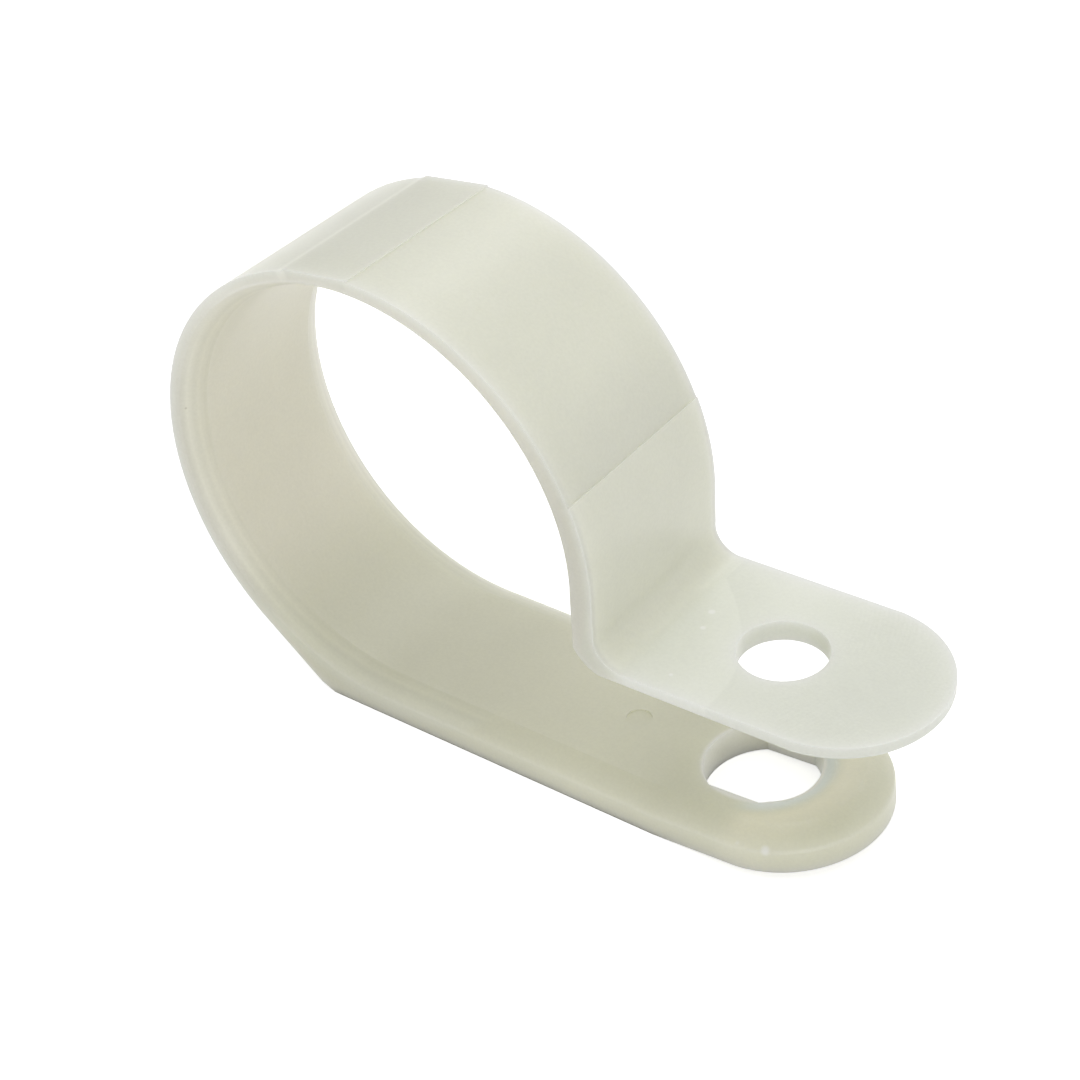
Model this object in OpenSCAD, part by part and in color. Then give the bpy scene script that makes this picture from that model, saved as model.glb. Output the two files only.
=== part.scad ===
// P clip: one moulded strap that loops round a cable bundle and is closed by one
// screw through the thin upper tab and the slotted lower leg.
//
// The strap is one solid.  Its side profile is drawn in the XZ plane, made as wide
// as the strap, and then the inner edges are rounded so that they cannot cut into a
// cable.  The loop is drawn sprung open, as moulded; tightening the screw brings
// the tab down onto the leg.
//
// Frame: +Z up from the mounting face (z = 0), +X from the loop towards the screw,
// Y across the strap.  The origin is on the mounting face under the loop's centre.
// All sizes are in millimetres.

/* [Strap] */

// width of the strap, the same all the way along
strap_w = 12.7; // [9.5:0.1:19]
// how far the inner edges fall away from the inner surface
edge_drop = 0.8; // [0.4:0.05:0.9]
// how wide the rounded band along each inner edge is
edge_run = 1.6; // [1.4:0.1:2]
// radius that takes each eased edge down into the side of the strap
edge_round = 0.45; // [0.35:0.05:0.5]

/* [Loop] */

// bore of the loop while the clip is open
loop_d = 27.2; // [22:0.1:34]
// mean wall of the loop
loop_t = 1.8; // [1.6:0.05:2.1]
// how far the bore is set towards the thin upper left of the loop
bore_shift = 0.4; // [0.1:0.05:0.5]
// direction in which the bore is set over
shift_deg = 143; // [130:1:160]
// slope of the straight heel behind the loop
heel_deg = 40; // [34:1:46]
// where the moulded flat on top of the loop starts
flat_from = 88.6; // [84:0.1:92]
// where the moulded flat on top of the loop ends
flat_to = 105.6; // [102:0.1:110]
// depth of the flat below the loop's own circle, at its middle
flat_depth = 0.07; // [0.02:0.01:0.12]
// angle up the loop at which the thicker tab side starts
rise_deg = 22; // [10:1:40]
// extra thickness of the tab side
rise_t = 0.08; // [0.04:0.01:0.15]

/* [Leg] */

// thickness of the lower leg
leg_t = 2.25; // [2.1:0.05:3]
// screw centre from the loop's centre
screw_x = 23.8; // [22:0.1:34]
// how far the end of the leg is sprung up off the mounting face
lift_deg = 4.5; // [2:0.5:6]
// length of the sprung end of the leg, measured back from the screw
lift_back = 4.8; // [4:0.1:6]
// how far the leg reaches past the screw before its round end starts
leg_over = 0.35; // [0:0.05:1]

/* [Slot] */

// slot across the leg
slot_w = 6.5; // [5.5:0.1:7]
// slot along the leg
slot_l = 6.9; // [6:0.05:8]
// radius of the bulged ends of the slot
slot_end_r = 3.85; // [3.7:0.05:6]
// how far the slot centre sits back from the screw centre
slot_back = 1.2; // [0.5:0.1:2]
// slope of the dished lip at the tip end of the slot
dish_deg = 20; // [12:1:28]

/* [Tab] */

// height of the tab's top face where it leaves the bend
tab_z = 11.2; // [9.5:0.05:12.5]
// thickness of the tab
tab_t = 1.35; // [1.2:0.05:1.6]
// how far the tab's lower edges fall away
tab_drop = 0.6; // [0.5:0.05:0.7]
// the same in the bend, where less falls away
bend_drop = 0.45; // [0.4:0.05:0.5]
// upward slope of the tab
tab_deg = 1.3; // [0.5:0.1:4]
// how far the tab reaches past the screw before its round end starts
tab_over = 3.55; // [0:0.1:5]
// inside radius of the bend between loop and tab
bend_r = 1.7; // [1.2:0.05:2.2]
// screw hole in the tab
screw_d = 5.3; // [3.5:0.05:6]

/* [Marks] */

// diameter of the plain ejector mark on the leg
eject_d = 1.6; // [1:0.1:3]
// depth of the ejector mark
eject_depth = 0.08; // [0.04:0.01:0.15]
// ejector mark from the loop's centre, along the leg
eject_x = 14.2; // [8:0.1:16]

/* [Hidden] */

$fn = 96;

natural = [0.86, 0.86, 0.80];
over = 1;                                   // cutters reach this far past the strap
hair = 0.01;                                // arcs cross their neighbours by this much
half_w = strap_w / 2;
end_r = half_w + 2 * hair;                  // round ends of the tab and the leg

// loop: outer centre, bore centre
bore_r = loop_d / 2;
outer_r = bore_r + loop_t;
bore_x = bore_shift * cos(shift_deg);
bore_z = leg_t + bore_r - hair;
outer_z = bore_z - bore_shift * sin(shift_deg);
wall_out = outer_r + rise_t;
wall_in = bore_x + bore_r - hair;
wall_mid = (wall_in + wall_out) / 2;
past_deg = 7;                               // arcs run on this far past a joint

// heel: the tangent of the loop that runs down to the mounting face
heel_top = [-(outer_r - hair) * sin(heel_deg), outer_z - (outer_r - hair) * cos(heel_deg)];
heel_x = heel_top[0] + heel_top[1] / tan(heel_deg);
heel_nose = 0.45;

// bend: concave corner above, convex corner below, on one level
bend_x = wall_out + bend_r;
bend_z = tab_z + bend_r;
under_r = (bend_r + tab_t + (bend_x - wall_in) * sin(tab_deg)) / (1 + sin(tab_deg));
under_x = wall_in + under_r;
step_deg = 3.5;                             // the bend's edge starts this far in

// tab, measured along its own slope from the bend's centre
tab_floor = -bend_r - tab_t;
tab_foot = -(bend_x - under_x) * cos(tab_deg);
tab_screw = (screw_x - bend_x) / cos(tab_deg);
tab_end = tab_screw + tab_over;

// leg
lift_x = screw_x - lift_back;
lift_l = lift_back / cos(lift_deg) + leg_over;
lift_kink = leg_t * tan(lift_deg / 2);
kink_r = 8;
kink_lead = kink_r * tan(lift_deg / 2);
slot_x = screw_x - slot_back;

// rounded edge: an arc that leaves the inner surface at a small angle
edge_lead = 12;

// ---- side profile -------------------------------------------------------

// outside of the loop, without its open lower right quarter
module round_2d() {
    half = (flat_to - flat_from) / 2;
    reach = outer_r + over;
    translate([0, outer_z]) difference() {
        union() {
            circle(outer_r);
            rotate((flat_from + flat_to) / 2)
                polygon([[0, 0], [reach * cos(half), -reach * sin(half)],
                         [reach * cos(half), reach * sin(half)]]);
        }
        // the flat that the mould's insert leaves across the top
        rotate((flat_from + flat_to) / 2)
            translate([outer_r - flat_depth, -outer_r]) square([2 * over, 2 * outer_r]);
        translate([bore_x, -2 * outer_r]) square(2 * outer_r);
    }
}

// the tab side of the loop, a little thicker
module rise_2d() {
    reach = 2 * outer_r;
    intersection() {
        translate([0, outer_z]) circle(wall_out);
        translate([0, outer_z])
            polygon([[wall_mid - 1, -1.5], [reach, -1.5],
                     [reach, reach * tan(rise_deg)],
                     [bore_r * cos(rise_deg), bore_r * sin(rise_deg)]]);
    }
}

// straight heel from the back of the loop down to the mounting face
module heel_2d() {
    polygon([heel_top,
             [heel_x - heel_nose / tan(heel_deg), heel_nose],
             [heel_x + heel_nose, 0],
             [bore_x, 0], [bore_x, outer_z]]);
}

// straight wall between the loop and the bend
module wall_2d() {
    polygon([[wall_in, bend_z - 0.1], [wall_mid, bend_z - bend_r], [wall_out, bend_z],
             [wall_out - hair, outer_z + 0.3], [wall_mid, bore_z + bend_r],
             [wall_in, bore_z + 0.3]]);
}

module bend_2d() {
    reach = 2 * under_r;
    translate([under_x, bend_z]) intersection() {
        circle(under_r + hair);
        polygon([[0, 0], [wall_mid - under_x, 0], [wall_mid - under_x, 0.6],
                 [-reach, 0.6], [-reach, -reach],
                 [reach * sin(tab_deg), -reach * cos(tab_deg)]]);
    }
    translate([bend_x, bend_z]) rotate(tab_deg)
        polygon([[0, 0], [wall_mid - bend_x, 0], [wall_mid - bend_x, -bend_r],
                 [tab_foot, tab_floor + tab_t / 2], [0, tab_floor + tab_t / 2]]);
}

module tab_2d() {
    translate([bend_x, bend_z]) rotate(tab_deg) translate([0, tab_floor])
        polygon([[tab_foot - 0.1, 0], [tab_end + half_w + over, 0],
                 [tab_end + half_w + over, tab_t], [0, tab_t], [tab_foot - 0.1, tab_t]]);
}

module leg_2d() {
    reach = lift_l + half_w + over;
    polygon([[bore_x - leg_t, 0], [lift_x, 0],
             [lift_x + reach * cos(lift_deg), reach * sin(lift_deg)],
             [lift_x + reach * cos(lift_deg) - leg_t * sin(lift_deg),
              reach * sin(lift_deg) + leg_t * cos(lift_deg)],
             [lift_x - lift_kink, leg_t], [bore_x - leg_t, leg_t]]);
}

module side_2d() {
    difference() {
        union() {
            round_2d();
            rise_2d();
            heel_2d();
            wall_2d();
            bend_2d();
            tab_2d();
            leg_2d();
        }
        translate([bore_x, bore_z]) circle(bore_r);
        translate([bend_x, bend_z]) circle(bend_r + hair);
    }
}

// ---- rounded inner edges --------------------------------------------------

// one edge: x is depth below the inner surface, y is distance in from the side.
// A wide arc falls from the surface, and a small one turns it down into the side.
module edge_2d(drop) {
    side = 0.3;
    chord = atan2(drop, edge_run);
    r = sqrt(pow(edge_run, 2) + pow(drop, 2)) / (2 * sin(chord - edge_lead));
    wide = [r * cos(edge_lead), edge_run + r * sin(edge_lead)];
    small_x = wide[0] - sqrt(pow(r - edge_round, 2) - pow(wide[1] - edge_round, 2));
    meet_y = wide[1] + (edge_round - wide[1]) * r / (r - edge_round);
    difference() {
        translate([-over, -side]) square([drop + over + 0.4, wide[1] + side]);
        translate(wide) circle(r);
    }
    difference() {
        translate([-over, -side]) square([small_x + over, meet_y + side]);
        translate([small_x, edge_round]) circle(edge_round + hair);
    }
}

// both edges of the strap, cut deeper by some hairs
module edges_2d(drop, hairs) {
    translate([hairs * hair, -half_w]) edge_2d(drop);
    mirror([0, 1]) translate([hairs * hair, -half_w]) edge_2d(drop);
}

module bore_edges() {
    translate([bore_x, 0, bore_z]) rotate([90, 0, 0])
        rotate_extrude(start = -past_deg, angle = 270 + 2 * past_deg)
            translate([bore_r, 0]) edges_2d(edge_drop, 2);
}

module wall_edges() {
    reach = 1.8;
    translate([wall_in, 0, bend_z - reach])
        linear_extrude(bore_z - bend_z + reach - 0.3) edges_2d(edge_drop, 1);
}

module bend_edges() {
    translate([under_x, 0, bend_z]) rotate([90, 0, 0])
        rotate_extrude(start = 180 + step_deg, angle = 90 + tab_deg - 2 * step_deg)
            translate([under_r + hair, 0]) mirror([1, 0]) edges_2d(bend_drop, 0);
}

// ---- frames that ride on the sloping ends ---------------------------------

// x along the tab from the bend's centre, z = 0 on the tab's underside
module on_tab(x) {
    translate([bend_x, 0, bend_z]) rotate([0, -tab_deg, 0])
        translate([x, 0, tab_floor]) children();
}

// x along the sprung end of the leg from where it starts, z = 0 on its top face
module on_leg(x) {
    translate([lift_x, 0, 0]) rotate([0, -lift_deg, 0])
        translate([x, 0, leg_t]) children();
}

// a straight run of both edges along x, below the top face
module run_edges(length, drop) {
    rotate([0, 90, 0]) linear_extrude(length) edges_2d(drop, 1);
}

// one edge carried round the half circle at an end of the strap
module end_edge(drop) {
    rotate_extrude(start = -88.5, angle = 177)
        translate([end_r, 0]) rotate(90) edge_2d(drop);
}

// everything past the half circle at an end of the strap
module end_trim() {
    difference() {
        translate([0, -half_w - over, -2 * leg_t])
            cube([half_w + 3 * over, strap_w + 2 * over, 4 * leg_t]);
        translate([0, 0, -3 * leg_t]) cylinder(h = 6 * leg_t, r = end_r);
    }
}

module tab_edges() {
    start = tab_foot - 1.4;
    on_tab(start) mirror([0, 0, 1]) run_edges(tab_end + over - start, tab_drop);
}

module leg_edges() {
    start = bore_x + 0.3;
    translate([start, 0, leg_t])
        run_edges(lift_x - lift_kink - kink_lead - 0.2 - start, edge_drop);
}

// the hollow where the sprung end of the leg starts
module kink_edges() {
    translate([lift_x - lift_kink - kink_lead, 0, leg_t + kink_r]) rotate([90, 0, 0])
        rotate_extrude(start = 270 - past_deg, angle = lift_deg + 2 * past_deg)
            translate([kink_r, 0]) edges_2d(edge_drop, 3);
}

module sprung_edges() {
    start = lift_kink + kink_lead + 0.2;
    on_leg(start) run_edges(lift_l + over - start, edge_drop);
}

// ---- openings ---------------------------------------------------------------

module slot_2d() {
    set = slot_l / 2 - slot_end_r;
    intersection() {
        translate([-set, 0]) circle(slot_end_r);
        translate([set, 0]) circle(slot_end_r);
        square([2 * slot_l, slot_w], center = true);
    }
}

module slot() {
    translate([slot_x, 0, -over]) linear_extrude(3 * leg_t) slot_2d();
}

// dished lip at the tip end of the slot, inside the slot's width
module slot_dish() {
    rim = slot_w / 2 - 0.25;
    deep = 0.8 * rim * tan(dish_deg);
    on_leg(lift_l) translate([0, 0, -deep])
        cylinder(h = deep + 0.5, r1 = 0.2 * rim, r2 = rim + 0.5 / tan(dish_deg));
}

module screw_hole() {
    on_tab(tab_screw) translate([0, 0, -over]) cylinder(h = tab_t + 2 * over, d = screw_d);
}

module eject_mark() {
    translate([eject_x, -0.4, leg_t - eject_depth]) cylinder(h = over, d = eject_d);
}

// ---- the clip, cut in stages --------------------------------------------------

module blank() {
    difference() {
        rotate([90, 0, 0]) linear_extrude(strap_w, center = true) side_2d();
        on_tab(tab_end) end_trim();
        on_leg(lift_l) end_trim();
    }
}

module eased_loop() {
    difference() {
        blank();
        bore_edges();
        wall_edges();
        bend_edges();
    }
}

module eased_tab() {
    difference() {
        eased_loop();
        tab_edges();
        on_tab(tab_end) end_edge(tab_drop);
    }
}

module eased_leg() {
    difference() {
        eased_tab();
        leg_edges();
        kink_edges();
        sprung_edges();
        on_leg(lift_l) mirror([0, 0, 1]) end_edge(edge_drop);
    }
}

module clip() {
    color(natural) difference() {
        eased_leg();
        slot();
        slot_dish();
        screw_hole();
        eject_mark();
    }
}

clip();
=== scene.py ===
# %% [markdown]
# # P clip
#
# A P clip is one moulded strap of natural nylon: a round loop for a cable bundle, a thin
# tab with a screw hole on top, and a slotted leg below.  One screw closes it.
#
# Its shape comes whole from the CAD file, so this lesson is about finish: how to make
# milky, slightly see-through plastic, and how to light and frame a small pale part.
#
# Units are metres.  +Z is up from the mounting face, and +X runs from the loop to the screw.

# %% Load the CAD part
import math
import bpy
from mathutils import Matrix, Vector


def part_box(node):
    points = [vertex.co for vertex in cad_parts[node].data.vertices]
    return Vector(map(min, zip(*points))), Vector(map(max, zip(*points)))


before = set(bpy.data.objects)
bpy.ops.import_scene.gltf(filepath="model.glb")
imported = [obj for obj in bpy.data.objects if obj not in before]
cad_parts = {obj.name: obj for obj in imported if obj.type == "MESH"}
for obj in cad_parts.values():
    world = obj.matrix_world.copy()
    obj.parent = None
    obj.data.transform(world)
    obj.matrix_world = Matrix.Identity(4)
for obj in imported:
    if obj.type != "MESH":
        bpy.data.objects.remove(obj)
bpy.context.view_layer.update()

MM = 0.001
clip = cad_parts["clip"]

# %% [markdown]
# ## Where things are on the strap
#
# The patterns below follow the moulding, so they need a few places on it: the middle of
# the loop, half the width of the strap, and the middles of the two round tips.  The
# object's box gives most of them, and the rest are sizes of the part.

# %% Places on the strap
low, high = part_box("clip")
HALF_WIDTH = high[1]
LOOP_RADIUS = -low[0]
LOOP_HEIGHT = 15.6 * MM
TAB_HEIGHT = 11.2 * MM
TAB_TIP = high[0] - HALF_WIDTH
LEG_TIP = TAB_TIP - 3.27 * MM
SLOT_MIDDLE = 22.6 * MM
print("half width %.2f mm, loop radius %.2f mm" % (HALF_WIDTH / MM, LOOP_RADIUS / MM))

# %% [markdown]
# ## Shading the clip
#
# The strap is smooth where it bends and crisp where two faces meet.  Smoothing by angle
# keeps both and moves nothing, so the mesh stays what the CAD says.

# %% Smooth shading
bpy.ops.object.select_all(action="DESELECT")
clip.select_set(True)
bpy.context.view_layer.objects.active = clip
bpy.ops.object.shade_smooth_by_angle(angle=math.radians(12))
print("smoothed up to 12 degrees")

# %% [markdown]
# ## Short helpers for shader nodes
#
# A node tree is quicker to read when one line makes one node.  `add` makes a node and
# fills its inputs: a socket is linked, and anything else is set as a plain value.  The
# others are the sums that come up again and again.

# %% Node helpers
def add(tree, kind, inputs=None, **settings):
    """Add a node, set its options, then link or set its inputs."""
    node = tree.nodes.new("ShaderNode" + kind)
    for name, value in settings.items():
        setattr(node, name, value)
    for name, value in (inputs or {}).items():
        if isinstance(value, bpy.types.NodeSocket):
            tree.links.new(value, node.inputs[name])
        else:
            node.inputs[name].default_value = value
    return node


def calc(tree, operation, first, second=0.0):
    """One sum on two numbers."""
    return add(tree, "Math", {0: first, 1: second}, operation=operation).outputs[0]


def times(tree, first, *others):
    """Multiply any count of numbers."""
    for other in others:
        first = calc(tree, "MULTIPLY", first, other)
    return first


def plus(tree, first, *others):
    """Add up any count of numbers."""
    for other in others:
        first = calc(tree, "ADD", first, other)
    return first


print("sums ready")

# %% [markdown]
# A smooth ramp turns a distance or an angle into a soft mask.  A blend mixes two colours
# by such a mask.  Sockets 6 and 7 of a Mix node are its two colours, and its output 2 is
# the result.

# %% Ramps and blends
def ramp(tree, value, start, end, low=0.0, high=1.0):
    """A smooth change from low to high as value goes from start to end."""
    inputs = {"Value": value, "From Min": start, "From Max": end,
              "To Min": low, "To Max": high}
    return add(tree, "MapRange", inputs, interpolation_type="SMOOTHSTEP").outputs[0]


def fade(tree, value, start, end):
    """1 before start, 0 after end."""
    return ramp(tree, value, start, end, 1.0, 0.0)


def blend(tree, mask, first, second, **settings):
    """The first colour where the mask is 0, and the second where it is 1."""
    return add(tree, "Mix", {0: mask, 6: first, 7: second}, data_type="RGBA",
               **settings).outputs[2]


def noise(tree, where, scale, detail, rough=0.5):
    inputs = {"Vector": where, "Scale": scale, "Detail": detail, "Roughness": rough}
    return add(tree, "TexNoise", inputs).outputs[0]


print("masks ready")

# %% [markdown]
# ## Finding a place in the pattern
#
# Every pattern reads Object coordinates, which are metres in the part's own frame here.
# On the loop it is easier to think of an angle, with 0 towards the screw and 90 at the
# top, and of a distance from the loop's middle, so `loop_place` works those out.

# %% Places inside a node tree
def object_place(tree):
    """Object coordinates as a vector, and as X, Y and Z."""
    where = add(tree, "TexCoord").outputs["Object"]
    return where, add(tree, "SeparateXYZ", {0: where}).outputs


def loop_place(tree, place):
    """Angle round the loop in degrees, and distance from the loop's middle."""
    above = calc(tree, "SUBTRACT", place["Z"], LOOP_HEIGHT)
    turn = times(tree, calc(tree, "ARCTAN2", above, place["X"]), 180 / math.pi)
    squares = plus(tree, times(tree, place["X"], place["X"]), times(tree, above, above))
    return turn, calc(tree, "SQRT", squares)


def on_upper_level(tree, place):
    """1 at the height of the tab, 0 at the height of the leg."""
    return calc(tree, "GREATER_THAN", place["Z"], 0.5 * TAB_HEIGHT)


print("places ready")

# %% [markdown]
# A shader node group is a small machine with named inputs and outputs.  In Blender 4.5 its
# sockets are made on the group's interface.

# %% Group helper
def new_group(name, inputs, outputs):
    """A shader node group with number inputs (name: default) and number outputs."""
    tree = bpy.data.node_groups.new(name, "ShaderNodeTree")
    for label, default in inputs.items():
        socket = tree.interface.new_socket(label, in_out="INPUT", socket_type="NodeSocketFloat")
        socket.default_value = default
    for label in outputs:
        tree.interface.new_socket(label, in_out="OUTPUT", socket_type="NodeSocketFloat")
    given = tree.nodes.new("NodeGroupInput").outputs
    return tree, given, tree.nodes.new("NodeGroupOutput").inputs


print("group helper ready")

# %% [markdown]
# ## Thin edges and painted light
#
# The paler band along the eased inner edges is painted light, for the glow of light
# through thin plastic.  On this strap the inner edges are eased away on both sides and
# round both tips, so that band and fine streaks follow the outline.
#
# The distance from mid width gives that band on the straight parts.  Past the middle of a
# round tip, the distance from that middle takes over, so the band turns with the outline.

# %% Edge band group
def strap_distance(tree, place):
    """Distance from mid width, or from the middle of a round tip past that middle."""
    tip = plus(tree, LEG_TIP, times(tree, on_upper_level(tree, place), TAB_TIP - LEG_TIP))
    past = calc(tree, "MAXIMUM", calc(tree, "SUBTRACT", place["X"], tip), 0.0)
    squares = plus(tree, times(tree, past, past), times(tree, place["Y"], place["Y"]))
    return calc(tree, "SQRT", squares)


def make_edge_group():
    tree, given, out = new_group("strap_edge", {"Start": 4.0 * MM, "End": 6.3 * MM},
                                 ["Mask", "Lines", "Inside"])
    where, place = object_place(tree)
    turn, reach = loop_place(tree, place)
    inside = fade(tree, reach, LOOP_RADIUS - 0.6 * MM, LOOP_RADIUS - 0.1 * MM)
    distance = strap_distance(tree, place)
    mask = times(tree, ramp(tree, distance, given["Start"], given["End"]), inside)
    streaks = add(tree, "TexNoise", {"W": distance, "Scale": 2600.0, "Detail": 1.0},
                  noise_dimensions="1D").outputs[0]
    band = times(tree, ramp(tree, distance, 4.2 * MM, 4.8 * MM), inside)
    tree.links.new(mask, out["Mask"])
    tree.links.new(times(tree, calc(tree, "SUBTRACT", streaks, 0.5), band), out["Lines"])
    tree.links.new(inside, out["Inside"])
    return tree


edge_group = make_edge_group()
print("group:", edge_group.name, "with", len(edge_group.nodes), "nodes")

# %% [markdown]
# ## Clouds in the plastic
#
# Melted nylon cools unevenly and stays a little cloudy.  Two noises at different sizes,
# one of about a centimetre and one of a few millimetres, give soft patches.

# %% Cloud group
def make_cloud_group():
    tree, given, out = new_group("nylon_cloud", {"Scale": 100.0, "Amount": 0.05}, ["Factor"])
    where, place = object_place(tree)
    wide = noise(tree, where, given["Scale"], 2.0)
    fine = noise(tree, where, times(tree, given["Scale"], 3.7), 3.0, 0.6)
    both = plus(tree, times(tree, wide, 0.7), times(tree, fine, 0.3))
    swing = times(tree, calc(tree, "SUBTRACT", both, 0.5), given["Amount"], 2.0)
    tree.links.new(plus(tree, 1.0, swing), out["Factor"])
    return tree


cloud_group = make_cloud_group()
print("group:", cloud_group.name, "with", len(cloud_group.nodes), "nodes")

# %% [markdown]
# ## Tool marks and flow
#
# The mould leaves a very fine satin grain and a slight waviness.  The melt, as it filled
# the far end of the tab, left faint arcs there.  They are far too shallow to model, so
# they are a height for a bump.

# %% Surface height group
def flow_arcs(tree, where, place):
    """Rings round a point before the screw hole, only at the far end of the tab."""
    centred = add(tree, "Mapping", {"Vector": where, "Location": (-14.0 * MM, 0, 0)})
    rings = add(tree, "TexWave", {"Vector": centred.outputs[0], "Scale": 1150.0,
                                  "Distortion": 1.5, "Detail": 1.0, "Detail Scale": 0.4},
                wave_type="RINGS", rings_direction="Z").outputs[1]
    far_end = ramp(tree, place["X"], TAB_TIP - 3.5 * MM, TAB_TIP)
    return times(tree, rings, far_end, on_upper_level(tree, place))


def make_surface_group():
    tree, given, out = new_group("mould_surface", {"Grain": 0.35, "Arcs": 0.2, "Waves": 0.6},
                                 ["Height"])
    where, place = object_place(tree)
    grain = noise(tree, where, 6500.0, 2.0)
    waves = noise(tree, where, 240.0, 1.0)
    height = plus(tree, times(tree, grain, given["Grain"]), times(tree, waves, given["Waves"]),
                  times(tree, flow_arcs(tree, where, place), given["Arcs"]))
    tree.links.new(height, out["Height"])
    return tree


surface_group = make_surface_group()
print("group:", surface_group.name, "with", len(surface_group.nodes), "nodes")

# %% [markdown]
# ## Lines of the mould on the loop, and painted shade
#
# The outside of the loop is a little darker just above the line where the wall steps in
# thickness.  Across the flat on top, and in a band beyond it, the darker colour is painted
# shade, for the dim part of the room that those faces reflect.  Both have one crisp side,
# where parts of the mould met, so their masks have a steep side too.

# %% Mould lines and painted shade
RISE_TURN = 22.0
FLAT_FROM, FLAT_TO = 88.6, 105.6


def rise_mask(tree, turn):
    """Crisp at the line low on the right, and gone 24 degrees above it."""
    return times(tree, ramp(tree, turn, RISE_TURN - 0.4, RISE_TURN + 0.2),
                 fade(tree, turn, RISE_TURN + 2.0, RISE_TURN + 24.0))


def flat_painted_shade(tree, turn):
    """Painted shade on the flat, deeper towards its far side, an unshaded line, and a fading
    band of painted shade beyond it.
    """
    flat = times(tree, ramp(tree, turn, FLAT_FROM - 0.4, FLAT_FROM + 1.0),
                 fade(tree, turn, FLAT_TO - 1.0, FLAT_TO + 0.4),
                 ramp(tree, turn, FLAT_FROM + 0.4, FLAT_TO - 2.6, 0.55, 1.0))
    beyond = times(tree, ramp(tree, turn, FLAT_TO + 1.4, FLAT_TO + 2.9),
                   fade(tree, turn, FLAT_TO + 6.4, FLAT_TO + 24.4), 0.8)
    return plus(tree, flat, beyond)


print("lines at", RISE_TURN, FLAT_FROM, FLAT_TO, "degrees")

# %% [markdown]
# ## Knit line
#
# Melt flows round the pin that forms the screw hole, and where the two streams meet they
# leave a faint knit line.  Here it is a bowed line across the tab beside the hole.  One
# side of it is crisp and the other fades, so it reads as a step in the plastic.

# %% Knit line, and the group of marks and painted shade
KNIT_X = 21.15 * MM
KNIT_SLANT = 0.63
KNIT_BOW = 0.06 / MM


def knit_mask(tree, place):
    bow = times(tree, place["Y"], place["Y"], KNIT_BOW)
    behind = plus(tree, place["X"], times(tree, place["Y"], KNIT_SLANT), bow, -KNIT_X)
    on_tab = times(tree, on_upper_level(tree, place),
                   calc(tree, "GREATER_THAN", place["X"], LOOP_RADIUS + 2.2 * MM))
    return times(tree, ramp(tree, behind, -0.1 * MM, 0.1 * MM), on_tab,
                 ramp(tree, behind, 0.1 * MM, 5.0 * MM, 1.0, 0.2))


def make_marks_and_shade_group():
    tree, given, out = new_group("marks_and_painted_shade", {"Step": 0.05, "FlatShade": 0.10, "Knit": 0.04},
                                 ["Factor"])
    where, place = object_place(tree)
    turn, reach = loop_place(tree, place)
    outside = ramp(tree, reach, LOOP_RADIUS - 0.7 * MM, LOOP_RADIUS - 0.3 * MM)
    # The step's band and the knit line darken the colour; the flat's part is painted shade.
    deeper = plus(tree, times(tree, rise_mask(tree, turn), outside, given["Step"]),
                  times(tree, flat_painted_shade(tree, turn), outside, given["FlatShade"]),
                  times(tree, knit_mask(tree, place), given["Knit"]))
    tree.links.new(calc(tree, "SUBTRACT", 1.0, deeper), out["Factor"])
    return tree


marks_and_shade_group = make_marks_and_shade_group()
print("group:", marks_and_shade_group.name, "with", len(marks_and_shade_group.nodes), "nodes")

# %% [markdown]
# ## Natural nylon
#
# Light goes a couple of millimetres into undyed nylon and comes out again, so the walls
# glow where light is behind them and the inside of the loop isn't dark.  Subsurface
# scattering does this with the real wall thickness.  Its scale is how far light spreads:
# much more than this wall is thick, and the leg goes dark where it lies on the floor.

# %% Nylon shader
SPREAD = 1.9 * MM
NYLON_IOR = 1.53

nylon = bpy.data.materials.new("nylon")
nylon.use_nodes = True
tree = nylon.node_tree
shader = tree.nodes["Principled BSDF"]
shader.inputs["Subsurface Weight"].default_value = 1.0
shader.inputs["Subsurface Radius"].default_value = (1.0, 1.0, 0.95)
shader.inputs["Subsurface Scale"].default_value = SPREAD
shader.inputs["IOR"].default_value = NYLON_IOR
print("material:", nylon.name, "spread %.1f mm" % (SPREAD / MM))

# %% [markdown]
# ### Patterns and parts of the strap
#
# The groups made above come in here once.  Two soft masks tell the leg and the tab from
# the loop: the leg is everything low down, and the tab is what is left beyond the loop.

# %% Patterns for the nylon
def place_group(tree, group):
    return add(tree, "Group", node_tree=group).outputs


edge = place_group(tree, edge_group)
cloud = place_group(tree, cloud_group)["Factor"]
marks_and_shade = place_group(tree, marks_and_shade_group)["Factor"]
where, place = object_place(tree)
in_leg = fade(tree, place["Z"], 2.0 * MM, 9.0 * MM)
not_leg = calc(tree, "SUBTRACT", 1.0, in_leg)
in_tab = times(tree, ramp(tree, place["X"], LOOP_RADIUS + 0.5 * MM, LOOP_RADIUS + 2.5 * MM),
               not_leg)
not_tab = calc(tree, "SUBTRACT", 1.0, in_tab)
print("patterns in", nylon.name + ":", len(tree.nodes), "nodes so far")

# %% [markdown]
# ### Colour of the walls
#
# The base colour is a warm, slightly green white.  It is deepest in the leg.  The warmer
# tone inside the loop is painted light, for light that passes through and bounces inside
# it, and the paler tab and eased edges are painted light, for light through thin plastic.

# %% Wall colours
LEG_WALL = (0.74, 0.735, 0.592, 1)
LOOP_WALL = (0.772, 0.775, 0.678, 1)
LOOP_INSIDE_WARM_LIGHT = (0.782, 0.765, 0.670, 1)
THIN_PAINTED_LIGHT = (0.80, 0.815, 0.735, 1)
EDGE_PAINTED_LIGHT = 0.2

# Painted light: the paler tab and eased edges, for light through thin plastic.
thin_painted_light = calc(tree, "MAXIMUM", times(tree, edge["Mask"], EDGE_PAINTED_LIGHT), in_tab)
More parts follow.
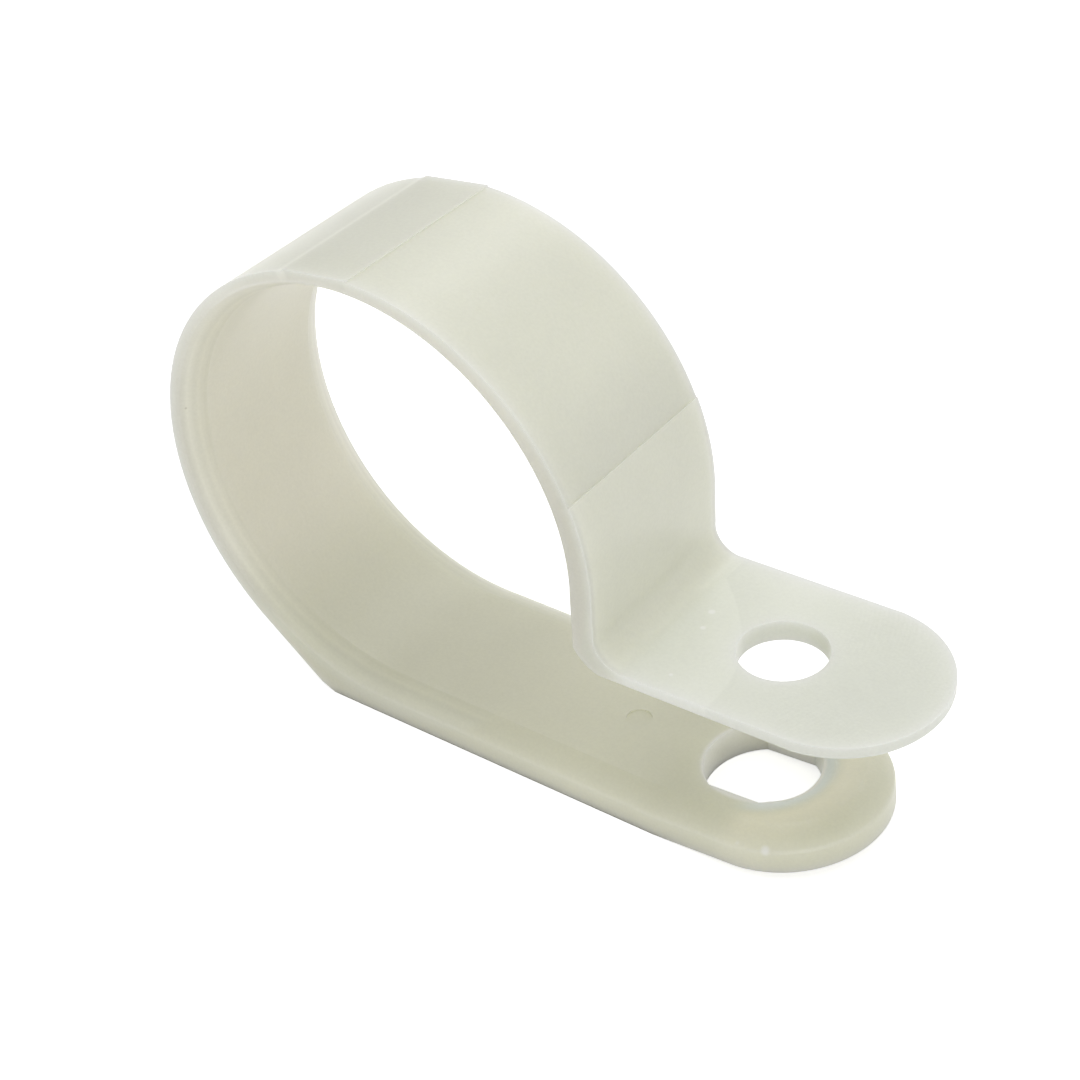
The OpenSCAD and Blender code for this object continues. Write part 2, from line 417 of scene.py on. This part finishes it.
# Painted light: a warmer tone inside the loop, for light bouncing inside it.
wall = blend(tree, edge["Inside"], LOOP_WALL, LOOP_INSIDE_WARM_LIGHT)
wall = blend(tree, in_leg, wall, LEG_WALL)
wall = blend(tree, thin_painted_light, wall, THIN_PAINTED_LIGHT)
print("walls: leg %.2f, loop %.2f, thin %.2f" % (LEG_WALL[1], LOOP_WALL[1], THIN_PAINTED_LIGHT[1]))

# %% [markdown]
# ### Painted light and shade from the slot
#
# Light gets into the leg through the slot as well, and here it is painted into the colour
# of its tip.  The pale wall of the slot is painted light, the cool band beside it is
# painted shade, and the warm band a little further out is painted light.  All three follow
# the distance from the middle of the slot's round end, seen from above.

# %% Slot painted light and shade
SLOT_WALL_PAINTED_LIGHT = (0.86, 0.855, 0.76, 1)
SLOT_PAINTED_SHADE = (0.74, 0.775, 0.715, 1)
SLOT_PAINTED_WARM_LIGHT = (0.85, 0.825, 0.67, 1)

from_above = add(tree, "VectorMath", {0: where, 1: (1, 1, 0)}, operation="MULTIPLY").outputs[0]
beside = add(tree, "VectorMath", {0: from_above, 1: (SLOT_MIDDLE, 0, 0)},
             operation="DISTANCE").outputs["Value"]
at_tip = times(tree, in_leg, ramp(tree, place["X"], SLOT_MIDDLE, SLOT_MIDDLE + 2 * MM))
slot_shade = times(tree, at_tip, fade(tree, beside, 3.9 * MM, 4.7 * MM))
slot_warm_light = times(tree, at_tip, ramp(tree, beside, 4.1 * MM, 5.0 * MM),
             fade(tree, beside, 4.8 * MM, 7.5 * MM))
slot_wall_light = times(tree, in_leg, fade(tree, beside, 3.5 * MM, 3.8 * MM))
# Painted shade beside the slot, painted light on its wall and in the warm band beyond.
wall = blend(tree, slot_shade, wall, SLOT_PAINTED_SHADE)
wall = blend(tree, slot_wall_light, wall, SLOT_WALL_PAINTED_LIGHT)
wall = blend(tree, slot_warm_light, wall, SLOT_PAINTED_WARM_LIGHT)
print("slot tints round x = %.1f mm" % (SLOT_MIDDLE / MM))

# %% [markdown]
# ### Painted shade
#
# One number near 1 multiplies the colour.  It starts as clouds times the mould marks and
# their painted shade.  Painted shade on the flat sides of the strap takes some away, and so
# does painted shade on the leg under the loop and at the far end of the tab.  On the sides
# the painted shade is strongest between the leg and the loop's middle, and turns to a little
# painted light at the very bottom and top.

# %% Painted shade
SIDE_PAINTED_SHADE, SIDE_PAINTED_LIGHT, TOP_PART = 0.11, 0.03, 0.2
UNDER_LOOP_PAINTED_SHADE = 0.10
TAB_END_PAINTED_SHADE = 0.09

side = ramp(tree, calc(tree, "ABSOLUTE", place["Y"]), HALF_WIDTH - 0.5 * MM,
            HALF_WIDTH - 0.1 * MM)
# Painted shade on the flat sides, with a little painted light at the bottom and top.
side_shade = times(tree, side,
            ramp(tree, place["Z"], 2.5 * MM, 7.0 * MM, -SIDE_PAINTED_LIGHT, SIDE_PAINTED_SHADE),
            ramp(tree, place["Z"], 18.0 * MM, 28.0 * MM, 1.0, -TOP_PART), not_tab)
# Painted shade on the leg under the loop.
under_loop_shade = times(tree, in_leg,
               ramp(tree, place["X"], 2.0 * MM, 14.0 * MM, UNDER_LOOP_PAINTED_SHADE, 0.0))
# Painted shade towards the far end of the tab.
tab_end_shade = times(tree, not_leg,
                ramp(tree, place["X"], 21.0 * MM, 31.0 * MM, 0.0, TAB_END_PAINTED_SHADE))
shade = times(tree, cloud, marks_and_shade)
for painted_loss in (side_shade, under_loop_shade, tab_end_shade):
    shade = calc(tree, "SUBTRACT", shade, painted_loss)
print("largest losses:", SIDE_PAINTED_SHADE, UNDER_LOOP_PAINTED_SHADE, TAB_END_PAINTED_SHADE)

# %% [markdown]
# Two fine patterns finish it: the streaks along the eased edges, and a grit of about a
# fifth of a millimetre, which is what the satin face of the mould looks like up close.

# %% Streaks and grit
STREAKS = 0.08
GRIT = 0.09
GRIT_SCALE = 5200.0

grit = calc(tree, "SUBTRACT", noise(tree, where, GRIT_SCALE, 2.0), 0.5)
shade = plus(tree, shade, times(tree, edge["Lines"], STREAKS), times(tree, grit, GRIT))
print("streaks", STREAKS, "and grit", GRIT)

# %% [markdown]
# ### Specks and painted glints
#
# Moulded nylon holds a few specks: burnt ones on the rim and the top of the loop, and pale
# ones beside the screw hole.  The two pale spots at the tip of the leg are painted
# highlights, glints on its glossy edge.  Each is a small ball, seen where it meets the
# surface, so the distance from its middle is all it needs.

# %% Specks and painted glints
DARK_SPECKS = [((-14.4, -5.9, 17.9), 0.13), ((9.8, -1.2, 27.3), 0.08)]
PALE_SPECKS_AND_GLINTS = [((18.56, 0.98, 11.2), 0.22), ((18.9, -0.5, 11.2), 0.18),
               # The two at the tip of the leg are painted highlights, glints on its glossy
               # edge.
               ((26.2, -5.75, 2.0), 0.3), ((24.6, -6.0, 1.9), 0.22),
               ((19.6, -4.9, 11.2), 0.14)]


def speck_mask(tree, where, specks):
    """1 inside any speck or painted glint; middles and radii are in millimetres."""
    mask = 0.0
    for middle, radius in specks:
        ball = {0: where, 1: tuple(value * MM for value in middle)}
        away = add(tree, "VectorMath", ball, operation="DISTANCE").outputs["Value"]
        spot = fade(tree, away, 0.5 * radius * MM, 1.3 * radius * MM)
        mask = calc(tree, "MAXIMUM", mask, spot)
    return mask


dark = times(tree, speck_mask(tree, where, DARK_SPECKS), 0.7)
pale = times(tree, speck_mask(tree, where, PALE_SPECKS_AND_GLINTS), 0.6)
print("specks:", len(DARK_SPECKS), "dark,", len(PALE_SPECKS_AND_GLINTS), "pale")

# %% [markdown]
# ### Base colour
#
# The wall colour, times the shade, with the specks and painted glints laid over it.

# %% Base colour
BURNT = (0.2, 0.17, 0.1, 1)
PALE = (0.93, 0.93, 0.9, 1)

tint = add(tree, "CombineXYZ", {0: shade, 1: shade, 2: shade}).outputs[0]
colour = blend(tree, 1.0, wall, tint, blend_type="MULTIPLY")
colour = blend(tree, pale, colour, PALE)
colour = blend(tree, dark, colour, BURNT)
tree.links.new(colour, shader.inputs["Base Color"])
print("base colour linked")

# %% [markdown]
# ### Sheen and grain
#
# The surface is satin.  Roughness follows the clouds a little, and the fine heights go to
# a bump of two hundredths of a millimetre.

# %% Roughness and bump
SATIN = 0.35
CLOUD_SWING = 1.2
BUMP_DEPTH = 0.02 * MM

thinner = calc(tree, "SUBTRACT", 1.0, cloud)
rough = plus(tree, SATIN, times(tree, thinner, CLOUD_SWING))
tree.links.new(rough, shader.inputs["Roughness"])
height = place_group(tree, surface_group)["Height"]
bump = add(tree, "Bump", {"Height": height, "Distance": BUMP_DEPTH, "Strength": 1.0})
tree.links.new(bump.outputs["Normal"], shader.inputs["Normal"])
clip.data.materials.clear()
clip.data.materials.append(nylon)
print("nylon nodes:", len(tree.nodes))

# %% [markdown]
# ## Floor
#
# The floor is matt pale grey and catches a soft shadow.  The camera should see it white, so
# it glows a little, but only for camera, mirror and see-through rays.  For the light that
# falls on the clip it stays a plain pale floor.

# %% Floor
FLOOR_WIDTH = 2
PAPER_GREY = 0.88
FLOOR_GLOW = 0.62


def seen_ray(tree):
    """1 for rays that show the background: straight, mirrored or through glass."""
    path = add(tree, "LightPath").outputs
    seen = calc(tree, "MAXIMUM", path["Is Camera Ray"], path["Is Glossy Ray"])
    return calc(tree, "MAXIMUM", seen, path["Is Transmission Ray"])


bpy.ops.object.select_all(action="DESELECT")
bpy.ops.mesh.primitive_plane_add(size=FLOOR_WIDTH)
floor = bpy.context.object
floor.name = "floor"
print("floor:", floor.name, FLOOR_WIDTH, "m wide")

# %% [markdown]
# Its material adds the glow to a plain matt shader.

# %% Paper
paper = bpy.data.materials.new("paper")
paper.use_nodes = True
tree = paper.node_tree
matt = tree.nodes["Principled BSDF"]
matt.inputs["Base Color"].default_value = (PAPER_GREY, PAPER_GREY, PAPER_GREY, 1)
matt.inputs["Roughness"].default_value = 0.9
matt.inputs["Specular IOR Level"].default_value = 0.1
glow = add(tree, "Emission", {"Strength": times(tree, seen_ray(tree), FLOOR_GLOW)})
both = add(tree, "AddShader", {0: matt.outputs[0], 1: glow.outputs[0]})
tree.links.new(both.outputs[0], tree.nodes["Material Output"].inputs["Surface"])
floor.data.materials.append(paper)
print("paper:", PAPER_GREY, "grey, glow", FLOOR_GLOW)

# %% [markdown]
# ## Room light
#
# An even white room gives most of the light.  It is pure white where it is seen, and
# dimmer where it only lights the clip.

# %% World
ROOM = 0.67

world = bpy.data.worlds.new("studio")
bpy.context.scene.world = world
world.use_nodes = True
tree = world.node_tree
sky = tree.nodes["Background"]
power = plus(tree, ROOM, times(tree, seen_ray(tree), 1.0 - ROOM))
tree.links.new(power, sky.inputs["Strength"])
sky.inputs["Color"].default_value = (1, 1, 1, 1)
print("room light", ROOM)

# %% [markdown]
# ## Three soft lamps
#
# The softbox overhead shapes the loop.  The sheen lamp, behind and to the left, shines on
# the top of the loop and a little through the walls.  The fill lamp, low at the front
# right, keeps the side of the leg from going dark.

# %% Lamps
def area_light(name, place, target, width, power):
    lamp = bpy.data.lights.new(name, "AREA")
    lamp.shape = "DISK"
    lamp.size = width
    lamp.energy = power
    thing = bpy.data.objects.new(name, lamp)
    bpy.context.collection.objects.link(thing)
    thing.location = place
    aim = Vector(target) - Vector(place)
    thing.rotation_euler = aim.to_track_quat("-Z", "Y").to_euler()
    print(name, "at", place, "gives", power, "W")


centre = (8 * MM, 0, 12 * MM)
area_light("softbox", (0.0, 0.10, 0.35), centre, 0.2, 0.17)
area_light("sheen", (-0.09, 0.27, 0.27), centre, 0.12, 0.07)
area_light("fill", (0.26, -0.22, 0.06), centre, 0.2, 0.14)

# %% [markdown]
# ## Camera
#
# The camera looks down from the front right, about 37 degrees above the floor, from 0.13 m
# away.  Its axes are written out, so that it doesn't lean on any other object.  A small
# sideways shift of the lens frames the clip without turning the view.

# %% Camera
CAMERA_RIGHT = Vector((0.82336, 0.56603, -0.04101))
CAMERA_UP = Vector((-0.31063, 0.50997, 0.80215))
CAMERA_BACK = Vector((0.47496, -0.64772, 0.59571))
CAMERA_PLACE = Vector((70.998, -80.919, 88.698)) * MM

lens = bpy.data.cameras.new("camera")
lens.lens = 72.775
lens.sensor_width = 36
lens.shift_x = -0.0556
lens.clip_start = 0.005
camera = bpy.data.objects.new("camera", lens)
bpy.context.collection.objects.link(camera)
turn = Matrix((CAMERA_RIGHT, CAMERA_UP, CAMERA_BACK)).transposed().to_4x4()
camera.matrix_world = Matrix.Translation(CAMERA_PLACE) @ turn
bpy.context.scene.camera = camera
bpy.context.scene.view_settings.view_transform = "Standard"
print("camera", tuple(round(value, 4) for value in camera.location))
